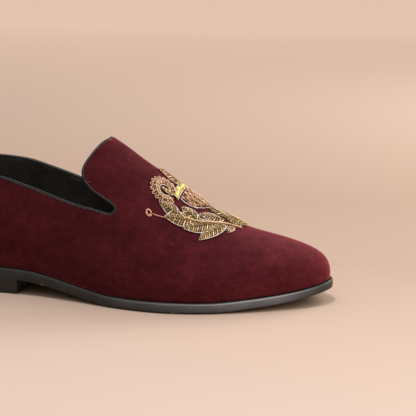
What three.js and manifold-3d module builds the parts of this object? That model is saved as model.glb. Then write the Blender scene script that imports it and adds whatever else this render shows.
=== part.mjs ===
// Embroidered velvet loafer, right shoe, standing on its sole.
// Millimetres, +X to the toe, +Y to the inner (medial) side, +Z up.
// The origin is on the floor under the middle of the shoe's box.
import * as THREE from "three";
import { mergeVertices } from "three/addons/utils/BufferGeometryUtils.js";
import Module from "manifold-3d";

const wasm = await Module();
wasm.setup();

// Driving dimensions
const SHOE_LENGTH = 300;
const BALL_WIDTH = 100;
const INSTEP_HEIGHT = 111.6;
const HEEL_HEIGHT = 10.1;
const HEEL_LENGTH = 74;
const HEEL_TAPER = 0.8;
const HEEL_BEVEL = 1;
const TOE_SPRING = 9.5;
const SOLE_THICKNESS = 7.6;
const SOLE_LEDGE = 2.3;
const WALL = 2.2;
const INSOLE_THICKNESS = 3;
const BINDING_WIDTH = 1.9;
const BINDING_PROUD = 0.5;
const COLLAR_TILT = 0.06;
const GAP = 0.3;
const INNER_DROP = 20;

// How finely the forms are faceted
const OUTLINE_STEPS = 76;
const WALL_STEPS = 13;
const COLLAR_STEPS = 3;
const SIDE_STEPS = 60;
const HEEL_STEPS = 16;
const NUDGE = 1e-3;
const MERGE = 1e-3;

// Plan of the sole: a smooth curve pulled by these rows, from heel to toe.
// at is a share of the length, lateral and medial are shares of the ball width.
const PLAN = [
  { at: -0.01, lateral: -0.14, medial: 0.14 },
  { at: 0.04, lateral: -0.31, medial: 0.305 },
  { at: 0.15, lateral: -0.35, medial: 0.335 },
  { at: 0.283, lateral: -0.358, medial: 0.285 },
  { at: 0.417, lateral: -0.457, medial: 0.245 },
  { at: 0.55, lateral: -0.578, medial: 0.335 },
  { at: 0.667, lateral: -0.596, medial: 0.46 },
  { at: 0.783, lateral: -0.5, medial: 0.495 },
  { at: 0.893, lateral: -0.33, medial: 0.4 },
  { at: 0.973, lateral: -0.17, medial: 0.255 },
  { at: 1.013, lateral: -0.03, medial: 0.125 },
];

// Underside of the sole: lift over the heel, waist, flat tread and toe spring.
const LIFT = [
  { at: 0, heel: 1, toe: 0 },
  { at: 0.2, heel: 1, toe: 0 },
  { at: 0.26, heel: 0.965, toe: 0 },
  { at: 0.32, heel: 0.79, toe: 0 },
  { at: 0.38, heel: 0.505, toe: 0 },
  { at: 0.44, heel: 0.22, toe: 0 },
  { at: 0.5, heel: 0.02, toe: 0 },
  { at: 0.56, heel: 0, toe: 0 },
  { at: 0.74, heel: 0, toe: 0 },
  { at: 0.85, heel: 0, toe: 0.237 },
  { at: 0.933, heel: 0, toe: 0.549 },
  { at: 1.007, heel: 0, toe: 1 },
];

// Thickness of the sole as a share of its thickness at the tread.
const SUBSTANCE = [
  { at: 0, share: 1.25 },
  { at: 0.233, share: 1.215 },
  { at: 0.367, share: 1.105 },
  { at: 0.5, share: 1.05 },
  { at: 0.6, share: 1.02 },
  { at: 0.8, share: 1 },
  { at: 1.007, share: 0.9 },
];

// Edge of the sole, from the tread up: height as a share of the thickness, and inset.
const SOLE_EDGE = [
  { rise: 0, inset: 0.9 },
  { rise: 0.12, inset: 0.2 },
  { rise: 0.5, inset: 0 },
  { rise: 0.86, inset: 0.1 },
  { rise: 1, inset: 0.9 },
];

// Ridge of the last from the cone over the instep to the top of the toe:
// shift is a share of the ball width, height a share of the instep height.
const RIDGE = [
  { at: 0.133, shift: 0, height: 1.165 },
  { at: 0.333, shift: 0.015, height: 1.129 },
  { at: 0.427, shift: 0.025, height: 1.0624 },
  { at: 0.452, shift: 0.028, height: 1.037 },
  { at: 0.49, shift: 0.032, height: 0.9765 },
  { at: 0.54, shift: 0.0355, height: 0.881 },
  { at: 0.6, shift: 0.04, height: 0.775 },
  { at: 0.66, shift: 0.045, height: 0.6555 },
  { at: 0.717, shift: 0.05, height: 0.552 },
  { at: 0.8, shift: 0.05, height: 0.456 },
  { at: 0.883, shift: 0.05, height: 0.403 },
];

// Section of the wall: lean out in mm, and where the wall turns and the crown begins, as shares.
const SECTION = [
  { at: 0, lean: 10, rise: 0.45, crown: 0.72 },
  { at: 0.2, lean: 12, rise: 0.46, crown: 0.74 },
  { at: 0.4, lean: 10, rise: 0.44, crown: 0.58 },
  { at: 0.5, lean: 8.5, rise: 0.43, crown: 0.5 },
  { at: 0.6, lean: 7, rise: 0.45, crown: 0.48 },
  { at: 0.767, lean: 5, rise: 0.52, crown: 0.54 },
  { at: 0.883, lean: 3.8, rise: 0.6, crown: 0.64 },
  { at: 1.007, lean: 2.2, rise: 0.65, crown: 0.7 },
];

// Side view of the topline, in mm from the back of the heel and from the floor:
// along the quarter, round the throat notch and up the edge of the tab.
const TOPLINE = [
  { x: -30, z: 93.2 },
  { x: 5, z: 93.2 },
  { x: 32, z: 92.4 },
  { x: 62.2, z: 89.8 },
  { x: 78.1, z: 85.8 },
  { x: 94.2, z: 81.4 },
  { x: 110.7, z: 76.6 },
  { x: 126.3, z: 73 },
  { x: 138.2, z: 70.9 },
  { x: 145.8, z: 69.2 },
  { x: 149.3, z: 68.9 },
  { x: 151.1, z: 70.6 },
  { x: 149, z: 73.5 },
  { x: 143.6, z: 76.6 },
  { x: 135.5, z: 81.2 },
  { x: 129.4, z: 85.3 },
  { x: 125.2, z: 90.2 },
  { x: 123.5, z: 95.6 },
  { x: 124.7, z: 100.2 },
  { x: 127.9, z: 106 },
  { x: 132, z: 111.8 },
  { x: 135.3, z: 114.5 },
  { x: 138.8, z: 115.6 },
  { x: 145, z: 116.4 },
  { x: 156, z: 117 },
];
const OPENING_TOP = 220;
const OPENING_HALF_WIDTH = 90;

// Embroidery on the vamp. u runs down the ridge to the toe, v from the ridge down the side.
const CREST_AT = 176;
const CREST_SLOPE = 0.84;
const CREST_PAD = 1.3;
const CREST_EDGE = 0.5;
const CREST_LIFT = 0.42;
const LEAF_STEPS = 5;
const LEAF_LANES = 2;
const LEAF_BLUNT = 0.35;
const LEAF_BASE = 0.85;
const LOBE = { u: 6.5, v: 18.2, radius: 7.5, half: 3.6, spread: 290, scallops: 9, depth: 0.7, steps: 27 };
const CENTRE_LOBE = { u: 17, v: 0, turn: 0, length: 21, width: 10.5 };
const BAND = { u: 16.5, half: 20.5, width: 5, steps: 8 };
const SHIELD = [
  { u: 20.2, half: 16.5 },
  { u: 24, half: 17.4 },
  { u: 29, half: 16.6 },
  { u: 34, half: 14.2 },
  { u: 39, half: 10.2 },
  { u: 44, half: 5.8 },
  { u: 50, half: 0.5 },
];
const SHIELD_LANES = 6;
const SPRAY_STEM = [
  { u: 73, v: 7.5 },
  { u: 62, v: 12 },
  { u: 51, v: 19.5 },
  { u: 38, v: 28 },
  { u: 26, v: 32.5 },
];
const STEM_WIDTH = 2.6;
const SPRAY_LEAVES = [
  { u: 25.5, v: 32.5, turn: 3, length: 19, width: 11 },
  { u: 41, v: 26.6, turn: -8, length: 17.7, width: 12 },
  { u: 36.3, v: 29.4, turn: 28, length: 26, width: 11 },
  { u: 52, v: 19.6, turn: 43.5, length: 30.8, width: 12 },
  { u: 61, v: 13.2, turn: 59.5, length: 33, width: 9.4 },
  { u: 58, v: 12.3, turn: 18, length: 22, width: 8.6 },
  { u: 66.5, v: 10.8, turn: 76, length: 11, width: 5.5 },
];
const STALK = [
  { u: 19, v: 38.5 },
  { u: 11, v: 43 },
  { u: 3, v: 45.4 },
];
const BEAD = { u: 3.5, v: 45.4, turn: 10, length: 7, width: 5.5 };
const TAIL_LEAVES = [
  { u: 53, v: 0, turn: 180, length: 21, width: 8.5 },
  { u: 57, v: 2.5, turn: 170, length: 14, width: 5 },
  { u: 57, v: -2.5, turn: -170, length: 14, width: 5 },
];

// Smooth table lookup: a monotone cubic through the rows, and its slope.
function lookup(rows, at, column) {
  const last = rows.length - 1;
  const share = THREE.MathUtils.clamp(at, rows[0].at, rows[last].at);
  let i = 0;
  while (i < last - 1 && share > rows[i + 1].at) i++;
  const step = (k) => rows[k + 1].at - rows[k].at;
  const rate = (k) => (rows[k + 1][column] - rows[k][column]) / step(k);
  const slope = (k) => {
    if (k === 0 || k === last) return rate(k === 0 ? 0 : last - 1);
    const before = rate(k - 1);
    const after = rate(k);
    return before * after <= 0 ? 0 : (2 * before * after) / (before + after);
  };
  const span = step(i);
  const t = (share - rows[i].at) / span;
  const a = rows[i][column];
  const b = rows[i + 1][column];
  const p = slope(i) * span;
  const q = slope(i + 1) * span;
  const cube = 2 * (a - b) + p + q;
  const square = 3 * (b - a) - 2 * p - q;
  return {
    value: ((cube * t + square) * t + p) * t + a,
    slope: ((3 * cube * t + 2 * square) * t + p) / span,
  };
}
const value = (rows, x, column) => lookup(rows, x / SHOE_LENGTH, column).value;

// Plan curve: turn 0 is the back of the heel, 0.5 the toe; the lateral side comes first.
const planPull = [
  ...PLAN.map((row) => [row.at * SHOE_LENGTH, row.lateral * BALL_WIDTH]),
  ...PLAN.toReversed().map((row) => [row.at * SHOE_LENGTH, row.medial * BALL_WIDTH]),
];
function planPoint(turn) {
  const count = planPull.length;
  const t = turn * count - 0.5;
  const i = Math.floor(t);
  const u = t - i;
  const weights = [(1 - u) ** 3, 3 * u ** 3 - 6 * u ** 2 + 4, -3 * u ** 3 + 3 * u ** 2 + 3 * u + 1, u ** 3];
  const point = new THREE.Vector2();
  weights.forEach((weight, k) => {
    const [x, y] = planPull[(((i - 1 + k) % count) + count) % count];
    point.x += (weight * x) / 6;
    point.y += (weight * y) / 6;
  });
  return point;
}
function planInset(turn, inset) {
  const along = planPoint(turn + NUDGE).sub(planPoint(turn - NUDGE)).normalize();
  return planPoint(turn).add(new THREE.Vector2(-along.y, along.x).multiplyScalar(inset));
}
const turns = Array.from({ length: OUTLINE_STEPS }, (_, i) => i / OUTLINE_STEPS);

const treadHeight = (x) => value(LIFT, x, "heel") * HEEL_HEIGHT + value(LIFT, x, "toe") * TOE_SPRING;
const substance = (x) => value(SUBSTANCE, x, "share") * SOLE_THICKNESS;
const seatHeight = (x) => treadHeight(x) + substance(x);

// The last: a wall from the feather line, height 0, over to the ridge, height 1.
// grow moves the whole wall out, or in where it is negative.
function lastPoint(turn, height, grow = 0) {
  const sole = planPoint(turn);
  const foot = planInset(turn, SOLE_LEDGE - grow);
  const footZ = seatHeight(sole.x) + GAP;
  const share = THREE.MathUtils.clamp(sole.x / SHOE_LENGTH, RIDGE[0].at, RIDGE.at(-1).at);
  const ridge = new THREE.Vector2(share * SHOE_LENGTH, lookup(RIDGE, share, "shift").value * BALL_WIDTH);
  const profile = lookup(RIDGE, share, "height");
  const fall = (profile.slope * INSTEP_HEIGHT) / SHOE_LENGTH;
  const ridgeZ = profile.value * INSTEP_HEIGHT + grow * Math.hypot(1, fall);
  const inward = ridge.clone().sub(foot);
  const reach = inward.length();
  inward.divideScalar(reach);
  const lean = value(SECTION, sole.x, "lean");
  const rise = value(SECTION, sole.x, "rise") * (ridgeZ - footZ);
  const crown = value(SECTION, sole.x, "crown") * reach;
  const slide = new THREE.Vector3(inward.x, inward.y, fall * inward.x);
  const wall = new THREE.CubicBezierCurve3(
    new THREE.Vector3(foot.x, foot.y, footZ),
    new THREE.Vector3(foot.x - inward.x * lean, foot.y - inward.y * lean, footZ + rise),
    new THREE.Vector3(ridge.x, ridge.y, ridgeZ).addScaledVector(slide, -crown),
    new THREE.Vector3(ridge.x, ridge.y, ridgeZ),
  );
  return wall.getPoint(height);
}

// A closed solid from points and triangles, with doubles merged and collapsed triangles dropped.
function solidFrom(geometry) {
  geometry.deleteAttribute("normal");
  geometry.deleteAttribute("uv");
  const merged = mergeVertices(geometry, MERGE);
  const index = merged.index.array;
  const kept = [];
  for (let i = 0; i < index.length; i += 3) {
    const [a, b, c] = index.slice(i, i + 3);
    if (a !== b && b !== c && c !== a) kept.push(a, b, c);
  }
  return new wasm.Manifold(
    new wasm.Mesh({
      numProp: 3,
      vertProperties: new Float32Array(merged.attributes.position.array),
      triVerts: new Uint32Array(kept),
    }),
  );
}

// A solid through rings of points, from the lowest up, with ladder caps across the two ends.
function ringSolid(rings, closeTop = true) {
  const count = rings[0].length;
  const triangles = [];
  const at = (ring, i) => ring * count + (((i % count) + count) % count);
  for (let r = 0; r + 1 < rings.length; r++) {
    for (let i = 0; i < count; i++) {
      triangles.push(at(r, i), at(r, i + 1), at(r + 1, i + 1));
      triangles.push(at(r, i), at(r + 1, i + 1), at(r + 1, i));
    }
  }
  const top = rings.length - 1;
  for (let i = 0; i < count / 2; i++) {
    const rung = [
      [i, i + 1, -i - 1],
      [i, -i - 1, -i],
    ];
    for (const [a, b, c] of rung) {
      triangles.push(at(0, a), at(0, c), at(0, b));
      if (closeTop) triangles.push(at(top, a), at(top, b), at(top, c));
    }
  }
  const geometry = new THREE.BufferGeometry().setFromPoints(rings.flat());
  geometry.setIndex(triangles);
  return solidFrom(geometry);
}

// The last as a solid; below is how far its foot is carried down.
function lastSolid(grow, below = 0) {
  const rings = [];
  for (let k = 0; k <= WALL_STEPS; k++) {
    rings.push(turns.map((turn) => lastPoint(turn, k / WALL_STEPS, grow)));
  }
  if (below > 0) {
    rings.unshift(rings[0].map((point) => point.clone().setZ(point.z - below)));
  }
  return ringSolid(rings, false);
}

// The opening at the top, with its edge moved by back into the wall.
function openingSolid(back) {
  const curve = new THREE.CatmullRomCurve3(TOPLINE.map((row) => new THREE.Vector3(row.x, row.z, 0)));
  const divisions = (TOPLINE.length - 1) * COLLAR_STEPS;
  const edge = [];
  for (let i = 0; i <= divisions; i++) {
    const along = curve.getTangent(i / divisions);
    const point = curve.getPoint(i / divisions);
    edge.push(new THREE.Vector2(point.x + along.y * back, point.y - along.x * back));
  }
  const shape = new THREE.Shape([
    ...edge,
    new THREE.Vector2(edge.at(-1).x, OPENING_TOP),
    new THREE.Vector2(edge[0].x, OPENING_TOP),
  ]);
  const geometry = new THREE.ExtrudeGeometry(shape, { depth: 2 * OPENING_HALF_WIDTH, bevelEnabled: false });
  geometry.rotateX(Math.PI / 2);
  geometry.translate(0, OPENING_HALF_WIDTH, 0);
  geometry.applyMatrix4(new THREE.Matrix4().makeShear(0, 0, 0, COLLAR_TILT, 0, 0));
  return solidFrom(geometry);
}

function makeOutsole() {
  const rings = SOLE_EDGE.map((row) =>
    turns.map((turn) => {
      const x = planPoint(turn).x;
      const edge = planInset(turn, row.inset);
      return new THREE.Vector3(edge.x, edge.y, treadHeight(x) + row.rise * substance(x));
    }),
  );
  return ringSolid(rings);
}

// The heel follows the plan of the sole back from a straight breast.
function makeHeel() {
  let breast = 0;
  while (planPoint(breast + NUDGE / 10).x < HEEL_LENGTH) breast += NUDGE / 10;
  const lateral = Array.from({ length: HEEL_STEPS }, (_, i) => (breast * i) / (HEEL_STEPS - 1));
  const round = [...lateral, ...lateral.slice(1).toReversed().map((turn) => 1 - turn)];
  const ring = (inset, height) =>
    round.map((turn) => {
      const edge = planInset(turn, inset);
      return new THREE.Vector3(Math.min(edge.x, HEEL_LENGTH), edge.y, height(planPoint(turn).x));
    });
  return ringSolid([
    ring(HEEL_TAPER + SOLE_EDGE[0].inset, () => 0),
    ring(HEEL_TAPER, () => HEEL_BEVEL),
    ring(SOLE_EDGE[0].inset, (x) => treadHeight(x) - GAP),
  ]);
}

function makeInsole() {
  const inset = SOLE_LEDGE + WALL + 2 * GAP;
  const rings = [GAP, GAP + INSOLE_THICKNESS].map((height) =>
    turns.map((turn) => {
      const edge = planInset(turn, inset);
      return new THREE.Vector3(edge.x, edge.y, seatHeight(planPoint(turn).x) + height);
    }),
  );
  return ringSolid(rings);
}

function makeUpper() {
  return lastSolid(0)
    .subtract(lastSolid(-WALL, INNER_DROP))
    .subtract(openingSolid(BINDING_WIDTH + GAP));
}

function makeBinding() {
  return lastSolid(BINDING_PROUD)
    .subtract(lastSolid(-WALL - BINDING_PROUD, INNER_DROP))
    .intersect(openingSolid(BINDING_WIDTH))
    .subtract(openingSolid(0));
}

// A point over the vamp: u down the ridge, v round the section (lateral positive), lift off it.
function vampPoint(u, v, lift) {
  const x = CREST_AT + u * CREST_SLOPE;
  let low = 0;
  let high = 0.5;
  for (let i = 0; i < 30; i++) {
    const middle = (low + high) / 2;
    if (planPoint(middle).x < x) low = middle;
    else high = middle;
  }
  const turn = v >= 0 ? low : 1 - low;
  let height = 1;
  let walked = 0;
  let point = lastPoint(turn, 1);
  for (let i = 1; i <= SIDE_STEPS && walked < Math.abs(v); i++) {
    const next = lastPoint(turn, 1 - i / SIDE_STEPS);
    const stride = next.distanceTo(point);
    const part = Math.min(1, (Math.abs(v) - walked) / stride);
    height = 1 - (i - 1 + part) / SIDE_STEPS;
    walked += stride;
    point = next;
  }
  const middle = Math.min(height, 1 - NUDGE);
  const along = lastPoint(turn + NUDGE, middle).sub(lastPoint(turn - NUDGE, middle));
  const up = lastPoint(turn, middle + NUDGE).sub(lastPoint(turn, middle - NUDGE));
  return lastPoint(turn, height).addScaledVector(along.cross(up).normalize(), lift);
}

// A padded strip along a midrib of [u, v, half width] rows: high on the rib, low on its two edges.
// Each row becomes a ring that runs out along the underside and back over the top, in lanes.
function padSolid(rib, lanes) {
  const rings = rib.map(([u, v, half], i) => {
    const before = rib[Math.max(i - 1, 0)];
    const after = rib[Math.min(i + 1, rib.length - 1)];
    const length = Math.hypot(after[0] - before[0], after[1] - before[1]);
    const across = [-(after[1] - before[1]) / length, (after[0] - before[0]) / length];
    const under = [];
    const over = [];
    for (let k = 0; k <= lanes; k++) {
      const side = (2 * k) / lanes - 1;
      const top = CREST_EDGE + (CREST_PAD - CREST_EDGE) * (1 - side ** 2);
      const spot = [u + across[0] * half * side, v + across[1] * half * side];
      under.push(vampPoint(...spot, CREST_LIFT));
      over.unshift(vampPoint(...spot, CREST_LIFT + top));
    }
    return [...under, ...over];
  });
  const count = rings[0].length;
  const triangles = [];
  for (let r = 0; r + 1 < rings.length; r++) {
    for (let i = 0; i < count; i++) {
      const j = (i + 1) % count;
      triangles.push(r * count + i, r * count + j, (r + 1) * count + j);
      triangles.push(r * count + i, (r + 1) * count + j, (r + 1) * count + i);
    }
  }
  const end = (rings.length - 1) * count;
  for (let i = 0; i < lanes; i++) {
    const rung = [
      [i, i + 1, count - 2 - i],
      [i, count - 2 - i, count - 1 - i],
    ];
    for (const [a, b, c] of rung) {
      triangles.push(a, c, b);
      triangles.push(end + a, end + b, end + c);
    }
  }
  const geometry = new THREE.BufferGeometry().setFromPoints(rings.flat());
  geometry.setIndex(triangles);
  const solid = solidFrom(geometry);
  if (solid.volume() > 0) return solid;
  geometry.setIndex(triangles.toReversed());
  return solidFrom(geometry);
}

// A leaf with blunt ends, widest a little nearer its base.
function leafSolid({ u, v, turn, length, width }, side = 1) {
  const angle = THREE.MathUtils.degToRad(turn);
  const rib = [];
  for (let i = 0; i <= LEAF_STEPS; i++) {
    const share = i / LEAF_STEPS;
    const half = LEAF_BLUNT + (width / 2 - LEAF_BLUNT) * Math.sin(Math.PI * share ** LEAF_BASE);
    rib.push([u - Math.cos(angle) * length * share, side * (v + Math.sin(angle) * length * share), half]);
  }
  return padSolid(rib, LEAF_LANES);
}
function stripSolid(points, width, side = 1) {
  return padSolid(points.map(({ u, v }) => [u, side * v, width / 2]), LEAF_LANES);
}
const join = (solids) => solids.reduce((sum, solid) => sum.add(solid));

// A lobe of the coronet is a scalloped horseshoe that stands open on the band.
function lobeSolid(side) {
  const rib = [];
  for (let i = 0; i <= LOBE.steps; i++) {
    const share = i / LOBE.steps;
    const angle = THREE.MathUtils.degToRad((share - 0.5) * LOBE.spread);
    const scallop = LOBE.depth * Math.abs(Math.sin(Math.PI * LOBE.scallops * share));
    rib.push([
      LOBE.u - Math.cos(angle) * LOBE.radius,
      side * LOBE.v + Math.sin(angle) * LOBE.radius,
      LOBE.half + scallop,
    ]);
  }
  return padSolid(rib, LEAF_LANES);
}
function makeCoronet() {
  const band = [];
  for (let i = 0; i <= BAND.steps; i++) {
    band.push([BAND.u, ((2 * i) / BAND.steps - 1) * BAND.half, BAND.width / 2]);
  }
  return join([padSolid(band, LEAF_LANES), lobeSolid(1), lobeSolid(-1), leafSolid(CENTRE_LOBE)]);
}
const makeBoss = () => padSolid(SHIELD.map(({ u, half }) => [u, 0, half]), SHIELD_LANES);
const makeTail = () => join(TAIL_LEAVES.map((leaf) => leafSolid(leaf)));
function makeSpray(side) {
  const leaves = SPRAY_LEAVES.map((leaf) => leafSolid(leaf, side));
  const stalk = stripSolid(STALK, STEM_WIDTH / 2, side);
  return join([stripSolid(SPRAY_STEM, STEM_WIDTH, side), ...leaves, stalk, leafSolid(BEAD, side)]);
}

const velvet = new THREE.MeshStandardMaterial({ color: 0x4a1a1f, roughness: 0.95, metalness: 0 });
const blackLeather = new THREE.MeshStandardMaterial({ color: 0x1c1c1d, roughness: 0.5, metalness: 0 });
const blackRubber = new THREE.MeshStandardMaterial({ color: 0x2a2826, roughness: 0.55, metalness: 0 });
const goldThread = new THREE.MeshStandardMaterial({ color: 0x9c7c48, roughness: 0.4, metalness: 0.9 });

const loafer = new THREE.Group();
function addPiece(name, solid, material) {
  const { numProp, vertProperties, triVerts } = solid.getMesh();
  const geometry = new THREE.BufferGeometry();
  geometry.setAttribute("position", new THREE.BufferAttribute(vertProperties, numProp));
  geometry.setIndex(new THREE.BufferAttribute(triVerts, 1));
  geometry.computeVertexNormals();
  const mesh = new THREE.Mesh(geometry, material);
  mesh.name = name;
  loafer.add(mesh);
}
addPiece("outsole", makeOutsole(), blackRubber);
addPiece("heel", makeHeel(), blackRubber);
addPiece("insole", makeInsole(), blackLeather);
addPiece("upper", makeUpper(), velvet);
addPiece("topline_binding", makeBinding(), blackLeather);
addPiece("embroidery_coronet", makeCoronet(), goldThread);
addPiece("embroidery_boss", makeBoss(), goldThread);
addPiece("embroidery_tail", makeTail(), goldThread);
addPiece("embroidery_lateral_spray", makeSpray(1), goldThread);
addPiece("embroidery_medial_spray", makeSpray(-1), goldThread);

const box = new THREE.Box3().setFromObject(loafer);
const middle = box.getCenter(new THREE.Vector3());
loafer.position.set(-middle.x, -middle.y, 0);

export default loafer;
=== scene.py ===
# %% [markdown]
# # An embroidered velvet loafer
# A slip-on shoe is built on a last, a wooden form of the foot. The velvet upper is pulled over
# the last, its top edge is bound with a strip of leather, and the sole is glued underneath.
# The lesson follows that order. First comes the frame: solids that fix every size and place.
# Every new piece is then modelled round that frame, in metres, where the real piece would be.

# %% Load the frame
import math
import random

import bmesh
import bpy
import numpy as np
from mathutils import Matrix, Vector


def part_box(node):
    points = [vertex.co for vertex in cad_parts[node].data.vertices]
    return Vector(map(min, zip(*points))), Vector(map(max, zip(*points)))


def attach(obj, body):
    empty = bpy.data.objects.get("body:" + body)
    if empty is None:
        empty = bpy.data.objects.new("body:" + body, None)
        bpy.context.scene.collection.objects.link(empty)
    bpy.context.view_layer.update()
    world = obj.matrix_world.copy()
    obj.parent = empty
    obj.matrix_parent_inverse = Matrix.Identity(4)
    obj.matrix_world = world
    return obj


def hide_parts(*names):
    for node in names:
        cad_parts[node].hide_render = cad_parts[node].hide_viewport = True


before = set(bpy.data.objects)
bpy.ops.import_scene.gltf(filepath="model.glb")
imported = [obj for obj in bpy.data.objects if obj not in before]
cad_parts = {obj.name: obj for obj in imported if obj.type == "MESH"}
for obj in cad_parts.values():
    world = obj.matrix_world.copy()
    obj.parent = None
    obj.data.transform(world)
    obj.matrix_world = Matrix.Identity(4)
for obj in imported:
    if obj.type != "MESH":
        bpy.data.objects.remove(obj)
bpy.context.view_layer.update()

print("frame nodes:", sorted(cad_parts))

# %% [markdown]
# ## The last in numbers
# The form is the same one that the solids use, so the dressed shoe keeps their shape.
# A few sizes and short tables drive it. Each table has a row for a place along the shoe,
# given as a share of the length, and a smooth curve is drawn through its rows.

# %% Sizes of the shoe, in millimetres
MM = 0.001
LENGTH = 300
BALL_WIDTH = 100
INSTEP_HEIGHT = 111.6
HEEL_HEIGHT = 10.1
HEEL_LENGTH = 74
TOE_SPRING = 9.5
SOLE_THICKNESS = 7.6
SOLE_LEDGE = 2.3
WALL = 2.2
INSOLE_THICKNESS = 3
BINDING_WIDTH = 1.9
COLLAR_TILT = 0.06
GAP = 0.3
FRAME_STEPS = 76
print(f"a shoe {LENGTH} mm long and {BALL_WIDTH} mm wide at the ball")

# %% Tables of the last
PLAN = [  # at, lateral and medial side as shares of the ball width
    (-0.01, -0.14, 0.14), (0.04, -0.31, 0.305), (0.15, -0.35, 0.335), (0.283, -0.358, 0.285),
    (0.417, -0.457, 0.245), (0.55, -0.578, 0.335), (0.667, -0.596, 0.46), (0.783, -0.5, 0.495),
    (0.893, -0.33, 0.4), (0.973, -0.17, 0.255), (1.013, -0.03, 0.125),
]
LIFT = [  # at, share of the heel height, share of the toe spring
    (0, 1, 0), (0.2, 1, 0), (0.26, 0.965, 0), (0.32, 0.79, 0), (0.38, 0.505, 0), (0.44, 0.22, 0),
    (0.5, 0.02, 0), (0.56, 0, 0), (0.74, 0, 0), (0.85, 0, 0.237), (0.933, 0, 0.549), (1.007, 0, 1),
]
SUBSTANCE = [  # at, share of the thickness
    (0, 1.25), (0.233, 1.215), (0.367, 1.105), (0.5, 1.05), (0.6, 1.02), (0.8, 1), (1.007, 0.9),
]
RIDGE = [  # at, shift as a share of the ball width, height as a share of the instep height
    (0.133, 0, 1.165), (0.333, 0.015, 1.129), (0.427, 0.025, 1.0624), (0.452, 0.028, 1.037),
    (0.49, 0.032, 0.9765), (0.54, 0.0355, 0.881), (0.6, 0.04, 0.775), (0.66, 0.045, 0.6555),
    (0.717, 0.05, 0.552), (0.8, 0.05, 0.456), (0.883, 0.05, 0.403),
]
SECTION = [  # at, lean of the wall in mm, where it turns, where the crown begins
    (0, 10, 0.45, 0.72), (0.2, 12, 0.46, 0.74), (0.4, 10, 0.44, 0.58), (0.5, 8.5, 0.43, 0.5),
    (0.6, 7, 0.45, 0.48), (0.767, 5, 0.52, 0.54), (0.883, 3.8, 0.6, 0.64), (1.007, 2.2, 0.65, 0.7),
]


def smooth_table(rows, column):
    """A monotone curve through one column of a table: gives its value and its slope."""
    at = np.array([row[0] for row in rows], float)
    value = np.array([row[column] for row in rows], float)
    step = np.diff(at)
    rate = np.diff(value) / step
    both = rate[:-1] * rate[1:]
    slope = np.concatenate([rate[:1], np.zeros(len(both)), rate[-1:]])
    slope[1:-1][both > 0] = 2 * both[both > 0] / (rate[:-1] + rate[1:])[both > 0]

    def read(x):
        share = np.clip(np.asarray(x, float) / LENGTH, at[0], at[-1])
        i = np.clip(np.searchsorted(at, share) - 1, 0, len(step) - 1)
        t = (share - at[i]) / step[i]
        a, b, p, q = value[i], value[i + 1], slope[i] * step[i], slope[i + 1] * step[i]
        cube, square = 2 * (a - b) + p + q, 3 * (b - a) - 2 * p - q
        here = ((cube * t + square) * t + p) * t + a
        return here, ((3 * cube * t + 2 * square) * t + p) / step[i] / LENGTH

    return read


heel_lift, toe_lift, substance = smooth_table(LIFT, 1), smooth_table(LIFT, 2), smooth_table(SUBSTANCE, 1)
ridge_shift, ridge_height = smooth_table(RIDGE, 1), smooth_table(RIDGE, 2)
wall_lean, wall_rise, wall_crown = (smooth_table(SECTION, column) for column in (1, 2, 3))
print("the sole under the arch is", round(float(substance(110)[0]) * SOLE_THICKNESS, 1), "mm thick")

# %% [markdown]
# The plan of the sole is one closed curve. It starts at the back of the heel, runs along the
# outer (lateral) side to the toe and comes back along the inner (medial) side. Points at turn
# and 1 - turn face each other across the shoe, which makes it easy to close the sole later.

# %% Plan of the sole and heights along it
plan_pull = np.array(
    [(at * LENGTH, lateral * BALL_WIDTH) for at, lateral, medial in PLAN]
    + [(at * LENGTH, medial * BALL_WIDTH) for at, lateral, medial in reversed(PLAN)]
)


def plan_point(turn):
    t = np.asarray(turn, float) * len(plan_pull) - 0.5
    i = np.floor(t).astype(int)
    u = t - i
    weights = [(1 - u) ** 3, 3 * u**3 - 6 * u**2 + 4, -3 * u**3 + 3 * u**2 + 3 * u + 1, u**3]
    return sum(w[..., None] * plan_pull[(i - 1 + k) % len(plan_pull)] for k, w in enumerate(weights)) / 6


def plan_inset(turn, inset):
    nudge = 1e-3
    along = plan_point(np.asarray(turn) + nudge) - plan_point(np.asarray(turn) - nudge)
    along /= np.linalg.norm(along, axis=-1, keepdims=True)
    inward = np.stack([-along[..., 1], along[..., 0]], -1)
    return plan_point(turn) + inward * np.asarray(inset, float)[..., None]


def tread_height(x):
    return heel_lift(x)[0] * HEEL_HEIGHT + toe_lift(x)[0] * TOE_SPRING


def sole_thickness(x):
    return substance(x)[0] * SOLE_THICKNESS


def seat_height(x):
    return tread_height(x) + sole_thickness(x)


frame_plan = plan_point(np.arange(FRAME_STEPS) / FRAME_STEPS)
SHIFT = np.array([
    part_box("heel")[1].x / MM - HEEL_LENGTH,
    -(frame_plan[:, 1].min() + frame_plan[:, 1].max()) / 2,
    0,
])
print("the frame lies at", SHIFT.round(2), "mm from the back of the heel")

# %% [markdown]
# The wall of the upper is a curve at every place round the plan: up from the feather line,
# where upper and sole meet, and over to the ridge along the top of the foot. One number moves
# the whole wall out or in, so the velvet, the lining and the binding all fit each other.

# %% The wall of the last


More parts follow.
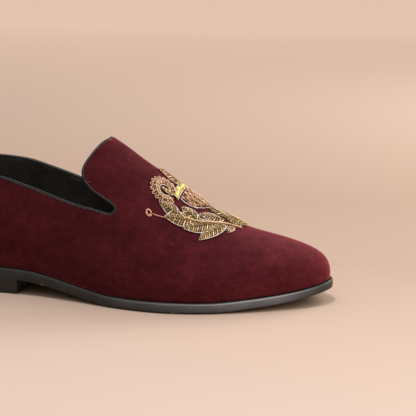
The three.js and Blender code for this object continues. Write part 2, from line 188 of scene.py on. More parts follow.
def last_point(turn, height, grow=0.0):
    """A point of the wall in mm: height 0 is the feather line and height 1 the ridge."""
    turn, height = np.broadcast_arrays(np.asarray(turn, float), np.asarray(height, float))
    x = plan_point(turn)[..., 0]
    foot = plan_inset(turn, np.full(turn.shape, SOLE_LEDGE - grow))
    foot_z = seat_height(x) + GAP
    ridge_x = np.clip(x, RIDGE[0][0] * LENGTH, RIDGE[-1][0] * LENGTH)
    share, fall = ridge_height(ridge_x)
    fall = fall * INSTEP_HEIGHT
    ridge = np.stack([ridge_x, ridge_shift(ridge_x)[0] * BALL_WIDTH], -1)
    ridge_z = share * INSTEP_HEIGHT + grow * np.hypot(1, fall)
    inward = ridge - foot
    reach = np.linalg.norm(inward, axis=-1)
    inward = inward / reach[..., None]
    crown = wall_crown(x)[0] * reach
    p0 = np.concatenate([foot, foot_z[..., None]], -1)
    p3 = np.concatenate([ridge, ridge_z[..., None]], -1)
    lean = -inward * wall_lean(x)[0][..., None]
    p1 = p0 + np.concatenate([lean, (wall_rise(x)[0] * (ridge_z - foot_z))[..., None]], -1)
    p2 = p3 - np.concatenate([inward, (fall * inward[..., 0])[..., None]], -1) * crown[..., None]
    t = height[..., None]
    return (1 - t) ** 3 * p0 + 3 * t * (1 - t) ** 2 * p1 + 3 * t**2 * (1 - t) * p2 + t**3 * p3


print("the back of the heel is at", last_point(0, 0.3).round(1), "mm")

# %% [markdown]
# ## A grid is bent into shape
# Most pieces start as Blender's own grid. Its points are moved to where a function says, and
# points that fall together, as at a seam or a pole, are merged. That is lofting by hand.

# %% Helpers for modelling


def deselect():
    if bpy.context.object and bpy.context.object.mode != "OBJECT":
        bpy.ops.object.mode_set(mode="OBJECT")
    bpy.ops.object.select_all(action="DESELECT")


def pick(*pieces):
    """Selects these pieces and makes the first one active."""
    deselect()
    for piece in pieces:
        piece.select_set(True)
    bpy.context.view_layer.objects.active = pieces[0]


def shaped_grid(name, columns, rows, place):
    """A grid whose points go to place(across, up), in mm from the back of the heel."""
    deselect()
    bpy.ops.mesh.primitive_grid_add(x_subdivisions=columns, y_subdivisions=rows, size=1)
    piece = bpy.context.object
    piece.name = piece.data.name = name
    flat = np.empty(len(piece.data.vertices) * 3)
    piece.data.vertices.foreach_get("co", flat)
    flat = flat.reshape(-1, 3) + 0.5
    places = (place(flat[:, 0], flat[:, 1]) + SHIFT) * MM
    piece.data.vertices.foreach_set("co", places.ravel())
    piece.data.update()
    return piece


def close_up(piece, near=1e-6):
    """Merges what lies together and turns the faces outwards."""
    pick(piece)
    bpy.ops.object.mode_set(mode="EDIT")
    bpy.ops.mesh.select_all(action="SELECT")
    bpy.ops.mesh.remove_doubles(threshold=near)
    bpy.ops.mesh.normals_make_consistent(inside=False)
    bpy.ops.object.mode_set(mode="OBJECT")
    bpy.ops.object.shade_smooth()


def join(*pieces):
    pick(*pieces)
    bpy.ops.object.join()
    return pieces[0]


def finish_piece(piece, material, slot, *nodes):
    """Gives a finished piece its material and its body, and hides the frame nodes that it replaces."""
    piece.data.materials.clear()
    piece.data.materials.append(material)
    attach(piece, "root")
    if nodes:
        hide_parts(*nodes)
    print(piece.name, len(piece.data.polygons), "faces")


# %% [markdown]
# ## Materials
# Each finish is a small tree of nodes on Object coordinates, so that the grain has its real
# size. A helper makes the tree, and each finish then adds its own noise, bump and colours.

# %% Helpers for materials


def new_finish(name, **sockets):
    """A material with its shader's sockets set, and the parts that a finish adds to."""
    material = bpy.data.materials.new(name)
    material.use_nodes = True
    nodes, links = material.node_tree.nodes, material.node_tree.links
    shader = nodes["Principled BSDF"]
    for socket, value in sockets.items():
        shader.inputs[socket.replace("_", " ")].default_value = value
    return material, nodes, links, shader


def noise(nodes, links, scale, detail=4.0, rough=0.55, stretch=(1, 1, 1)):
    """Noise with scale features to the metre."""
    place = nodes.new("ShaderNodeTexCoord")
    mapping = nodes.new("ShaderNodeMapping")
    mapping.inputs["Scale"].default_value = stretch
    texture = nodes.new("ShaderNodeTexNoise")
    texture.inputs["Scale"].default_value = scale
    texture.inputs["Detail"].default_value = detail
    texture.inputs["Roughness"].default_value = rough
    links.new(place.outputs["Object"], mapping.inputs["Vector"])
    links.new(mapping.outputs["Vector"], texture.inputs["Vector"])
    return texture.outputs["Fac"]


def ramp(nodes, links, source, *stops):
    """A colour ramp on a source, with (place, colour) stops."""
    node = nodes.new("ShaderNodeValToRGB")
    elements = node.color_ramp.elements
    while len(elements) < len(stops):
        elements.new(0.5)
    for element, (place, colour) in zip(elements, stops):
        element.position = place
        element.color = (*colour, 1)
    links.new(source, node.inputs["Fac"])
    return node.outputs["Color"]


def bump(nodes, links, shader, height, depth, strength=1.0, below=None):
    """Bump of a depth in mm, on top of another bump if there is one."""
    node = nodes.new("ShaderNodeBump")
    node.inputs["Distance"].default_value = depth * MM
    node.inputs["Strength"].default_value = strength
    links.new(height, node.inputs["Height"])
    if below:
        links.new(below, node.inputs["Normal"])
    links.new(node.outputs["Normal"], shader.inputs["Normal"])
    return node.outputs["Normal"]


def blend_colours(nodes, links, kind, share, a, b):
    """Mixes two colours; share, a and b are sockets or plain values."""
    node = nodes.new("ShaderNodeMix")
    node.data_type = "RGBA"
    node.blend_type = kind
    for index, value in ((0, share), (6, a), (7, b)):
        if isinstance(value, bpy.types.NodeSocket):
            links.new(value, node.inputs[index])
        else:
            node.inputs[index].default_value = value
    return node.outputs[2]


# %% [markdown]
# Velvet is a short upright pile. It looks dark where one looks into the pile and pale where
# light skims its tips, which the shader's sheen gives. The hand leaves soft patches where the
# pile leans one way or the other, and each tuft is a speck of its own. Along the shoe the colour
# carries painted light: a painted shade over the middle and the tab, and a painted highlight
# that makes the toe much paler. A few specks of lint lie on it.

# %% Velvet
velvet, nodes, links, shader = new_finish(
    "wine_velvet", Roughness=0.9, Specular_IOR_Level=0.06,
    Sheen_Roughness=0.34, Sheen_Tint=(0.90, 0.215, 0.265, 1),
)
pile = noise(nodes, links, 1500, 3.0, 0.65)
stroke = noise(nodes, links, 150, 6.0, 0.72, (1, 1, 1.3))
nap = noise(nodes, links, 30, 4.0, 0.6, (1, 1, 1.6))
nap_colour = ramp(
    nodes, links, nap,
    (0.30, (0.052, 0.0070, 0.0110)), (0.52, (0.070, 0.0095, 0.0145)), (0.74, (0.094, 0.0134, 0.0198)),
)
stroke_colour = ramp(nodes, links, stroke, (0.30, (0.72, 0.70, 0.70)), (0.72, (1.30, 1.30, 1.30)))
pile_colour = ramp(nodes, links, pile, (0.30, (0.62, 0.58, 0.58)), (0.72, (1.28, 1.30, 1.30)))
stroked = blend_colours(nodes, links, "MULTIPLY", 1.0, nap_colour, stroke_colour)
piled = blend_colours(nodes, links, "MULTIPLY", 1.0, stroked, pile_colour)
place = nodes.new("ShaderNodeTexCoord").outputs["Object"]
length_way = nodes.new("ShaderNodeSeparateXYZ")
links.new(place, length_way.inputs["Vector"])
# Painted light along the shoe: a painted shade over the middle and the tab, and a painted highlight that makes the
# toe much paler.
lean = nodes.new("ShaderNodeMapRange")
for socket, value in (("From Min", -0.16), ("From Max", 0.16), ("To Min", 0.0), ("To Max", 1.0)):
    lean.inputs[socket].default_value = value
links.new(length_way.outputs["X"], lean.inputs["Value"])
painted_light_along = ramp(
    nodes, links, lean.outputs["Result"],
    (0.20, (0.94,) * 3), (0.46, (0.84,) * 3), (0.72, (1.04,) * 3), (0.96, (1.60, 1.85, 1.75)),
)
velvet_with_painted_light = blend_colours(nodes, links, "MULTIPLY", 1.0, piled, painted_light_along)
lint = nodes.new("ShaderNodeTexVoronoi")
lint.inputs["Scale"].default_value = 75
links.new(place, lint.inputs["Vector"])
speck = ramp(nodes, links, lint.outputs["Distance"], (0.018, (0.8,) * 3), (0.026, (0.0,) * 3))
links.new(blend_colours(nodes, links, "MIX", speck, velvet_with_painted_light, (0.42, 0.25, 0.22, 1)), shader.inputs["Base Color"])
links.new(
    ramp(nodes, links, stroke, (0.3, (0.50,) * 3), (0.7, (1.0,) * 3)), shader.inputs["Sheen Weight"]
)
tufts = bump(nodes, links, shader, pile, 0.30, 0.6)
brushed = bump(nodes, links, shader, stroke, 0.5, 0.5, tufts)
bump(nodes, links, shader, nap, 1.4, 0.35, brushed)
print("velvet made")

# %% [markdown]
# The sole is black rubber with a satin edge: fine lines run along it from the finishing wheel,
# and its forepart is greyer with a painted reflection. An attribute on the sole's points says
# how high on the edge they lie. It paints shade on the edge, dark low down and on the ledge
# under the upper, draws a painted highlight along the rim and puts small scuffs low down.
# The binding, the lining and the sock are smooth black leather.

# %% Rubber
rubber, nodes, links, shader = new_finish("sole_rubber", Roughness=0.42, Specular_IOR_Level=0.32)
place = nodes.new("ShaderNodeTexCoord")
length_way = nodes.new("ShaderNodeSeparateXYZ")
links.new(place.outputs["Object"], length_way.inputs["Vector"])
reach = nodes.new("ShaderNodeMapRange")
for socket, value in (("From Min", -0.16), ("From Max", 0.16), ("To Min", 0.0), ("To Max", 1.0)):
    reach.inputs[socket].default_value = value
links.new(length_way.outputs["X"], reach.inputs["Value"])
# Painted reflection: the edge is greyer and paler over the forepart, not at all at the heel and waist, and only a
# little at the very tip.
forepart_reflection = ramp(
    nodes, links, reach.outputs["Result"],
    (0.46, (0.0,) * 3), (0.56, (0.20,) * 3), (0.69, (0.44,) * 3), (0.82, (0.92,) * 3), (0.89, (0.84,) * 3),
    (0.955, (0.10,) * 3),
)
smear = noise(nodes, links, 55, 5.0, 0.65, (1, 1, 2.4))
black_rubber = ramp(nodes, links, smear, (0.30, (0.013, 0.0145, 0.0145)), (0.70, (0.028, 0.0300, 0.0300)))
painted_reflection_grey = ramp(nodes, links, smear, (0.30, (0.114, 0.130, 0.166)), (0.70, (0.180, 0.204, 0.252)))
side_rubber = blend_colours(nodes, links, "MIX", forepart_reflection, black_rubber, painted_reflection_grey)
rise = nodes.new("ShaderNodeAttribute")
rise.attribute_name = "edge_rise"
# Painted shade up the edge: dark on the low bevel, paler high on the side, and black on the ledge under the upper.
painted_edge_shade = ramp(
    nodes, links, rise.outputs["Fac"],
    (0.06, (0.12,) * 3), (0.16, (0.62,) * 3), (0.35, (0.84,) * 3), (0.82, (1.22,) * 3), (0.93, (0.9,) * 3),
    (0.96, (0.10,) * 3),
)
# Painted highlight: a pale line along the top rim, brightest over the forepart.
rim_highlight_mask = ramp(
    nodes, links, rise.outputs["Fac"],
    (0.79, (0.0,) * 3), (0.865, (1.0,) * 3), (0.91, (1.0,) * 3), (0.945, (0.0,) * 3),
)
rim_highlight_colour = blend_colours(nodes, links, "MIX", forepart_reflection, (0.034, 0.040, 0.041, 1), (0.400, 0.420, 0.460, 1))
shaded = blend_colours(nodes, links, "MULTIPLY", 1.0, side_rubber, painted_edge_shade)
rimmed = blend_colours(nodes, links, "MIX", rim_highlight_mask, shaded, rim_highlight_colour)
low = ramp(
    nodes, links, rise.outputs["Fac"],
    (0.06, (0.0,) * 3), (0.12, (1.0,) * 3), (0.20, (1.0,) * 3), (0.27, (0.0,) * 3),
)
rubbed = ramp(nodes, links, noise(nodes, links, 190, 5.0, 0.7), (0.585, (0.0,) * 3), (0.63, (0.75,) * 3))
scuffs = blend_colours(nodes, links, "MULTIPLY", 1.0, low, rubbed)
links.new(blend_colours(nodes, links, "MIX", scuffs, rimmed, (0.30, 0.30, 0.31, 1)), shader.inputs["Base Color"])
links.new(ramp(nodes, links, smear, (0.3, (0.34,) * 3), (0.7, (0.52,) * 3)), shader.inputs["Roughness"])
wheel = noise(nodes, links, 900, 2.0, 0.5, (0.06, 0.06, 1.6))
grain = noise(nodes, links, 2600, 3.0, 0.6)
lines = bump(nodes, links, shader, wheel, 0.12, 0.5)
bump(nodes, links, shader, grain, 0.05, 0.4, lines)
print("rubber made")

# %% Leather


def leather_finish(name, dark, pale, gloss, crease):
    """Smooth black leather with a fine pebble and a few soft wrinkles."""
    material, nodes, links, shader = new_finish(name, Roughness=gloss, Specular_IOR_Level=0.3)
    wear = noise(nodes, links, 45, 4.0, 0.6)
    links.new(ramp(nodes, links, wear, (0.35, dark), (0.70, pale)), shader.inputs["Base Color"])
    place = nodes.new("ShaderNodeTexCoord")
    pebble = nodes.new("ShaderNodeTexVoronoi")
    pebble.inputs["Scale"].default_value = 1500
    links.new(place.outputs["Object"], pebble.inputs["Vector"])
    pores = bump(nodes, links, shader, pebble.outputs["Distance"], 0.07, 0.5)
    bump(nodes, links, shader, noise(nodes, links, 240, 3.0), crease, 0.4, pores)
    return material


binding_leather = leather_finish("binding_leather", (0.0035, 0.0035, 0.004), (0.008, 0.008, 0.009), 0.42, 0.12)
lining_leather = leather_finish("lining_leather", (0.026, 0.025, 0.023), (0.050, 0.048, 0.045), 0.50, 0.20)
print("leathers made")

# %% [markdown]
# ## The opening
# The topline runs along the quarters, round a small notch at each side of the throat and up
# over the tab. From the side it is one smooth curve. Swept across the shoe it is a ribbon, and
# the ribbon cuts the wall: an intersect in edit mode, and then what lies inside is deleted.

# %% The topline and its ribbon
TOPLINE = [  # x, z in mm
    (-30, 93.2), (5, 93.2), (32, 92.4), (62.2, 89.8), (78.1, 85.8), (94.2, 81.4), (110.7, 76.6), (126.3, 73),
    (138.2, 70.9), (145.8, 69.2), (149.3, 68.9), (151.1, 70.6), (149, 73.5), (143.6, 76.6), (135.5, 81.2),
    (129.4, 85.3), (125.2, 90.2), (123.5, 95.6), (124.7, 100.2), (127.9, 106), (132, 111.8), (135.3, 114.5),
    (138.8, 115.6), (145, 116.4), (156, 117),
]
OPENING_TOP = 220
RIBBON_HALF = 90
RIBBON_STEPS = 216


def topline_curve(share, back=0.0):
    """The topline from the side, moved by back mm into the wall: a centripetal curve through its rows."""
    rows = np.array(TOPLINE, float)
    rows = np.vstack([2 * rows[0] - rows[1], rows, 2 * rows[-1] - rows[-2]])
    spot = np.clip(np.asarray(share, float), 0, 1) * (len(TOPLINE) - 1)
    i = np.minimum(spot.astype(int), len(TOPLINE) - 2)
    t = (spot - i)[..., None]
    a, b, c, d = (rows[i + k] for k in range(4))
    ab, bc, cd = (np.linalg.norm(q - p, axis=-1, keepdims=True) ** 0.5 for p, q in ((a, b), (b, c), (c, d)))
    leave = ((b - a) / ab - (c - a) / (ab + bc) + (c - b) / bc) * bc
    arrive = ((c - b) / bc - (d - b) / (bc + cd) + (d - c) / cd) * bc
    cube, square = 2 * (b - c) + leave + arrive, 3 * (c - b) - 2 * leave - arrive
    point = ((cube * t + square) * t + leave) * t + b
    along = (3 * cube * t + 2 * square) * t + leave
    along /= np.linalg.norm(along, axis=-1, keepdims=True)
    return point + back * np.stack([along[..., 1], -along[..., 0]], -1)


def in_opening(places, back):
    """True for places, in mm, that lie inside the opening."""
    edge = topline_curve(np.linspace(0, 1, RIBBON_STEPS + 1), back)
    loop = np.vstack([edge, [edge[-1, 0], OPENING_TOP], [edge[0, 0], OPENING_TOP]])
    x, z = places[:, 0], places[:, 2] - COLLAR_TILT * places[:, 1]
    inside = np.zeros(len(places), bool)
    for (ax, az), (bx, bz) in zip(loop, np.roll(loop, -1, 0)):
        if az != bz:
            crosses = (az > z) != (bz > z)
            inside ^= crosses & (x < (bx - ax) * (z - az) / (bz - az) + ax)
    return inside


def ribbon(back):
    def place(across, up):
        point = topline_curve(across, back)
        y = (up * 2 - 1) * RIBBON_HALF
        return np.stack([point[:, 0], y, point[:, 1] + COLLAR_TILT * y], -1)

    return shaped_grid("ribbon", RIBBON_STEPS, 1, place)


print("topline from", topline_curve(0.05).round(1), "to", topline_curve(1).round(1))

# %% Cutting a wall at the topline
cut_marks = [bpy.data.materials.new(name) for name in ("wall_mark", "ribbon_mark")]


def cut_at_topline(wall, back):
    """Cuts a wall along the ribbon and deletes the ribbon and what lies in the opening."""
    blade = ribbon(back)
    for piece, mark in zip((wall, blade), cut_marks):
        piece.data.materials.append(mark)
    join(wall, blade)
    bpy.context.tool_settings.mesh_select_mode = (False, False, True)
    ribbon_slot = wall.data.materials.find("ribbon_mark")

    def select_faces(test):
        marks = np.empty(len(wall.data.polygons), int)
        wall.data.polygons.foreach_get("material_index", marks)
        middles = np.empty(len(marks) * 3)
        wall.data.polygons.foreach_get("center", middles)
        chosen = test(marks, middles.reshape(-1, 3) / MM - SHIFT)
        wall.data.polygons.foreach_set("select", chosen)
        wall.data.update()
        bpy.ops.object.mode_set(mode="EDIT")

    select_faces(lambda marks, middles: marks == ribbon_slot)
    bpy.ops.mesh.intersect(mode="SELECT_UNSELECT", separate_mode="CUT", threshold=1e-7, solver="EXACT")
    bpy.ops.object.mode_set(mode="OBJECT")
    select_faces(lambda marks, middles: (marks == ribbon_slot) | in_opening(middles, back))
    bpy.ops.mesh.delete(type="FACE")
    bpy.ops.mesh.select_all(action="SELECT")
    bpy.ops.mesh.delete_loose(use_verts=True, use_edges=True, use_faces=False)
    bpy.ops.object.mode_set(mode="OBJECT")
    return wall


def wall_form(name, grow, columns, rows):
    """The wall of the last as a grid, closed at the heel seam and along the ridge."""
    wall = shaped_grid(name, columns, rows, lambda across, up: last_point(across, up, grow))
    close_up(wall)
    return wall


def thicken(piece, thickness):
    """Gives a wall its thickness, inwards."""
    pick(piece)
    solid = piece.modifiers.new("thickness", "SOLIDIFY")
    solid.thickness = thickness * MM
    solid.offset = -1
    solid.use_even_offset = True
    bpy.ops.object.modifier_apply(modifier=solid.name)
    bpy.ops.object.shade_smooth()


# %% [markdown]
# ## Upper and lining
# The upper is velvet on a backing, and a thin black leather lining is glued inside it.
# Both are cut just under the binding, which then hides their raw edges.

# %% Velvet upper
VELVET_THICKNESS = 1.2
LINING_GAP = 0.1
UPPER_COLUMNS = 340
UPPER_ROWS = 60
upper = cut_at_topline(wall_form("velvet_upper", 0, UPPER_COLUMNS, UPPER_ROWS), BINDING_WIDTH * 0.6)
thicken(upper, VELVET_THICKNESS)
finish_piece(upper, velvet, "velvet", "upper")

# %% Lining
lining_grow = -VELVET_THICKNESS - LINING_GAP
lining = cut_at_topline(wall_form("lining", lining_grow, UPPER_COLUMNS // 2, UPPER_ROWS // 2), BINDING_WIDTH * 0.6)
thicken(lining, WALL - VELVET_THICKNESS - LINING_GAP)
finish_piece(lining, lining_leather, "sock_leather")

# %% [markdown]
# ## Topline binding
# The binding is a strip folded over the edge. The middle of the wall is cut at the same ribbon,
# and the edge that the cut leaves is the path. A rounded profile is then swept along it, flat
# against the wall on both sides and round over the top. At the tip of the tab the strip is
# thinner and sits lower, so that the corner stays soft.

# %% The path of the binding
PATH_STEPS = 520


def open_edge(piece, above):
    """The points, in order, of the free edge that lies above a height in metres."""
    mesh = bmesh.new()
    mesh.from_mesh(piece.data)
    ring = {}
    for edge in mesh.edges:
        if edge.is_boundary and min(v.co.z for v in edge.verts) > above:
            a, b = edge.verts
            ring.setdefault(a.index, []).append(b.index)
            ring.setdefault(b.index, []).append(a.index)
    mesh.verts.ensure_lookup_table()
    first = min(ring, key=lambda index: mesh.verts[index].co.x)
    order, before, here = [first], None, first
    while True:
        after = next(index for index in ring[here] if index != before)
        if after == first:
            break
        order.append(after)
        before, here = here, after
    points = np.array([mesh.verts[index].co for index in order])
    mesh.free()
    return points


def even_loop(points, steps):
    """A closed loop of points spread evenly, with its small kinks taken out."""
    closed = np.vstack([points, points[:1]])
    length = np.concatenate([[0], np.cumsum(np.linalg.norm(np.diff(closed, axis=0), axis=1))])
    spread = np.linspace(0, length[-1], steps, endpoint=False)
    loop = np.stack([np.interp(spread, length, closed[:, k]) for k in range(3)], -1)
    for _ in range(3):
        loop = (np.roll(loop, 1, 0) + 2 * loop + np.roll(loop, -1, 0)) / 4
    return loop


def unit(vectors):
    return vectors / np.linalg.norm(vectors, axis=-1, keepdims=True)


def edge_frames(form, loop):
    """At each point of a loop on a form: the way along, the way out of the wall and the way down into it."""
    along = unit(np.roll(loop, -1, 0) - np.roll(loop, 1, 0))
    out = np.array([form.closest_point_on_mesh(Vector(point))[2] for point in loop])
    for _ in range(8):
        out = unit(np.roll(out, 1, 0) + 2 * out + np.roll(out, -1, 0))
    down = np.cross(along, out)
    trial = (loop + down * MM) / MM - SHIFT
    if in_opening(trial, BINDING_WIDTH / 2).mean() > 0.5:
        down = -down
    return along, unit(out), unit(down)


middle_wall = cut_at_topline(wall_form("middle_wall", -WALL / 2, 400, 72), BINDING_WIDTH / 2)
close_up(middle_wall)
binding_path = even_loop(open_edge(middle_wall, 0.04), PATH_STEPS)
binding_along, binding_out, binding_down = edge_frames(middle_wall, binding_path)
bpy.data.objects.remove(middle_wall)
binding_length = np.linalg.norm(np.roll(binding_path, -1, 0) - binding_path, axis=1).sum()
print("binding", round(binding_length / MM), "mm long")

# %% Sweep the binding
STRIP_PROUD = 0.3
BINDING_HALF = WALL / 2 + STRIP_PROUD
STRIP_WIDTH = 1.8
STRIP_UP = (BINDING_WIDTH - STRIP_WIDTH) / 2
PROFILE_STEPS = 22
TAB_TIP_REACH = 7.0
TAB_TIP_THIN = 0.35
TAB_TIP_SINK = 0.55
highest = binding_path[binding_path[:, 2].argmax()]
tab_tip = np.exp(-((np.linalg.norm(binding_path - highest, axis=1) / MM / TAB_TIP_REACH) ** 2))


def binding_profile(share):
    """Round over the top and square below: out of the wall and down into it, in mm."""
    angle = np.asarray(share) * 2 * np.pi
    square = np.where(np.sin(angle) > 0, 0.72, 0.38)
    out = np.sign(np.cos(angle)) * np.abs(np.cos(angle)) ** square * BINDING_HALF
    down = -np.sign(np.sin(angle)) * np.abs(np.sin(angle)) ** square * STRIP_WIDTH / 2 - STRIP_UP
    return out, down


def sweep_place(across, up):
    i = np.round(across * PATH_STEPS).astype(int) % PATH_STEPS
    out, down = binding_profile(up)
    out, down = out * (1 - TAB_TIP_THIN * tab_tip[i]), down + TAB_TIP_SINK * tab_tip[i]
    place = binding_path[i] + (binding_out[i] * out[:, None] + binding_down[i] * down[:, None]) * MM
    return place / MM - SHIFT


binding = shaped_grid("topline_binding_strip", PATH_STEPS, PROFILE_STEPS, sweep_place)
close_up(binding, 1e-7)
finish_piece(binding, binding_leather, "binding_leather", "topline_binding")

# %% [markdown]
# A row of small stitches holds the strip, just above its lower edge, outside and inside.
# One stitch is modelled from a sphere, and its points are then copied along the path.

# %% Stitches along the binding
STITCH_PITCH = 1.55
STITCH_LENGTH = 1.25
STITCH_THICKNESS = 0.36
STITCH_DOWN = 0.62
thread_black, nodes, links, shader = new_finish("stitch_thread", Roughness=0.5, Specular_IOR_Level=0.5)
links.new(
    ramp(nodes, links, noise(nodes, links, 900), (0.3, (0.055, 0.057, 0.063)), (0.7, (0.165, 0.170, 0.182))),
    shader.inputs["Base Color"],
)


def copies_of(pattern, faces, places, axes):
    """Points and faces of many copies of one pattern, each at its place with its own axes."""
    points = places[:, None, :] + np.einsum("pk,nkc->npc", pattern, axes)
    count = len(pattern)
    shifted = [[index + n * count for index in face] for n in range(len(places)) for face in faces]
    return points.reshape(-1, 3), shifted


def pattern_of(piece):
    """The points and faces of a modelled pattern, which is then deleted."""
    points = np.array([v.co for v in piece.data.vertices])
    faces = [list(face.vertices) for face in piece.data.polygons]
    bpy.data.objects.remove(piece)
    return points, faces


def piece_from(name, points, faces):
    mesh = bpy.data.meshes.new(name)
    mesh.from_pydata(points.tolist(), [], faces)
    mesh.update()
    piece = bpy.data.objects.new(name, mesh)
    bpy.context.scene.collection.objects.link(piece)
    pick(piece)
    bpy.ops.object.shade_smooth()
    return piece


deselect()
bpy.ops.mesh.primitive_uv_sphere_add(segments=8, ring_count=6, radius=0.5)
bpy.context.object.rotation_euler = (0, math.pi / 2, 0)
bpy.ops.object.transform_apply(rotation=True)
stitch, stitch_faces = pattern_of(bpy.context.object)
stitch = np.sign(stitch) * np.abs(stitch * 2) ** (0.7, 1, 1) / 2
stitch *= np.array([STITCH_LENGTH, STITCH_THICKNESS, STITCH_THICKNESS]) * MM
stitch_count = round(binding_length / MM / STITCH_PITCH)
spots = np.round(np.arange(stitch_count) * PATH_STEPS / stitch_count).astype(int) % PATH_STEPS
stitch_axes = np.stack([binding_along[spots], binding_out[spots], binding_down[spots]], 1)
rows = []
for side in (1, -1):
    proud = side * BINDING_HALF * 0.97 * (1 - TAB_TIP_THIN * tab_tip[spots])
    sunk = STITCH_DOWN + TAB_TIP_SINK * tab_tip[spots]
    offset = binding_out[spots] * proud[:, None] + binding_down[spots] * sunk[:, None]
    rows.append(binding_path[spots] + offset * MM)
points, faces = copies_of(stitch, stitch_faces, np.vstack(rows), np.vstack([stitch_axes] * 2))
stitches = piece_from("binding_stitches", points, faces)
finish_piece(stitches, thread_black, "binding_leather")

# %% [markdown]
# ## Sole, heel and sock
# The edge of the sole is a profile carried round the plan, rounded at the top rim and bevelled
# below. Two ladders of faces across the shoe close its top and its tread. The height on the edge
# is kept as an attribute for the rubber's shading.

# %% Outsole
SOLE_COLUMNS = 360
SOLE_EDGE = [  # share of the thickness, inset in mm
    (0, 2.4), (0.02, 1.6), (0.06, 0.95), (0.12, 0.45), (0.2, 0.14), (0.3, 0.02), (0.6, 0), (0.74, 0.03),
    (0.82, 0.1), (0.87, 0.18), (0.91, 0.3), (0.945, 0.48), (0.97, 0.7), (0.99, 0.95), (1, 1.25),
]
LADDER_RUNGS = 14
HEEL_RISE = 0.42


def edge_place(across, up):
    row = np.round(up * (len(SOLE_EDGE) - 1)).astype(int)
    rise, inset = np.array(SOLE_EDGE)[row].T
    x = plan_point(across)[:, 0]
    return np.column_stack([plan_inset(across, inset), tread_height(x) + rise * sole_thickness(x)])


def ladder(name, inset, height, columns, rungs=LADDER_RUNGS):
    """Faces across the shoe between the two sides of the plan, at a height that follows x and the way across."""

    def place(across, up):
        turn = across / 2
        left, right = plan_inset(turn, np.full(len(turn), inset)), plan_inset(1 - turn, np.full(len(turn), inset))
        flat = left + (right - left) * up[:, None]
        return np.column_stack([flat, height(plan_point(turn)[:, 0], up)])

    return shaped_grid(name, columns // 2, rungs, place)


outsole = join(
    shaped_grid("outsole_body", SOLE_COLUMNS, len(SOLE_EDGE) - 1, edge_place),
    ladder("tread", SOLE_EDGE[0][1], lambda x, up: tread_height(x), SOLE_COLUMNS),
    ladder("sole_top", SOLE_EDGE[-1][1], lambda x, up: seat_height(x), SOLE_COLUMNS),
)
close_up(outsole)


def mark_rise(piece, rise_at):
    """Keeps, for each point of a piece, how far up the edge of the sole it lies: 0 tread, 1 rim."""
    places = np.array([v.co for v in piece.data.vertices]) / MM - SHIFT
    marks = piece.data.attributes.new("edge_rise", "FLOAT", "POINT")
    marks.data.foreach_set("value", rise_at(places))


def sole_rise(at):
    """How far up the edge a point lies. Over the heel the edge runs on into the block and gets the same painted
    shade as it.
    """
    rise = (at[:, 2] - tread_height(at[:, 0])) / sole_thickness(at[:, 0])
    return np.where(at[:, 0] < HEEL_LENGTH, np.maximum(rise, HEEL_RISE), rise)


mark_rise(outsole, sole_rise)
finish_piece(outsole, rubber, "sole_rubber", "outsole")

# %% [markdown]
# The heel is a low block that follows the plan of the sole and ends in a straight breast.
# Its ring of points is the plan as far as the breast, and the breast is one straight line.
# Heel and sole are moulded flush, so the block's top runs a little way up into the sole.

# %% Heel
HEEL_COLUMNS = 240
BREAST_SHARE = 0.2
HEEL_EDGE = [  # share of the height, inset in mm
    (0, 1.9), (0.03, 1.35), (0.09, 0.9), (0.2, 0.72), (0.5, 0.42), (0.9, 0.06), (1, 0.02), (1.28, 0), (1.36, 0.08),
]
HEEL_SEAT = 0.04
turns = np.linspace(0, 0.3, 3001)
breast_turn = float(np.interp(HEEL_LENGTH, plan_point(turns)[:, 0], turns))


def heel_place(across, up):
    row = np.round(up * (len(HEEL_EDGE) - 1)).astype(int)
    rise, inset = np.array(HEEL_EDGE)[row].T
    round_share = np.clip(across / (1 - BREAST_SHARE), 0, 1)
    turn = (round_share * 2 - 1) * -breast_turn
    edge = plan_inset(turn % 1, inset)
    start = plan_inset(np.full(len(turn), breast_turn), inset)
    end = plan_inset(np.full(len(turn), -breast_turn % 1), inset)
    along = np.clip((across - (1 - BREAST_SHARE)) / BREAST_SHARE, 0, 1)[:, None]
    breast = end + (start - end) * along
    flat = np.where(along > 0, breast, edge)
    flat[:, 0] = np.minimum(flat[:, 0], HEEL_LENGTH - inset * 0.6)
    top = tread_height(flat[:, 0]) - HEEL_SEAT
    return np.column_stack([flat, rise * top])


heel = shaped_grid("heel_block", HEEL_COLUMNS, len(HEEL_EDGE) - 1, heel_place)
close_up(heel)
pick(heel)
bpy.ops.object.mode_set(mode="EDIT")
bpy.ops.mesh.select_all(action="SELECT")
bpy.ops.mesh.region_to_loop()
bpy.ops.mesh.edge_face_add()
bpy.ops.object.mode_set(mode="OBJECT")
close_up(heel)
bpy.ops.object.shade_smooth_by_angle(angle=math.radians(40))
# Painted shade on the heel block: it is darker towards the floor.
mark_rise(heel, lambda at: np.interp(at[:, 2] / HEEL_HEIGHT, [0, 0.06, 0.22], [0.1, 0.2, HEEL_RISE]))
finish_piece(heel, rubber, "sole_rubber", "heel")

# %% [markdown]
# The sock lies on the insole board inside the shoe. It is slightly cupped at the heel and along
# the arch, as feet leave it, and its rim is rounded where it meets the wall.

# %% Sock
SOCK_INSET = SOLE_LEDGE + WALL + 2 * GAP
SOCK_EDGE = [(0, 0.1), (0.35, 0), (0.7, 0.1), (0.9, 0.5), (1, 1.3)]
SOCK_DISH = 0.9


def sock_place(across, up):
    row = np.round(up * (len(SOCK_EDGE) - 1)).astype(int)
    rise, inset = np.array(SOCK_EDGE)[row].T
    x = plan_point(across)[:, 0]
    flat = plan_inset(across, SOCK_INSET + inset)
    return np.column_stack([flat, seat_height(x) + GAP + rise * INSOLE_THICKNESS])


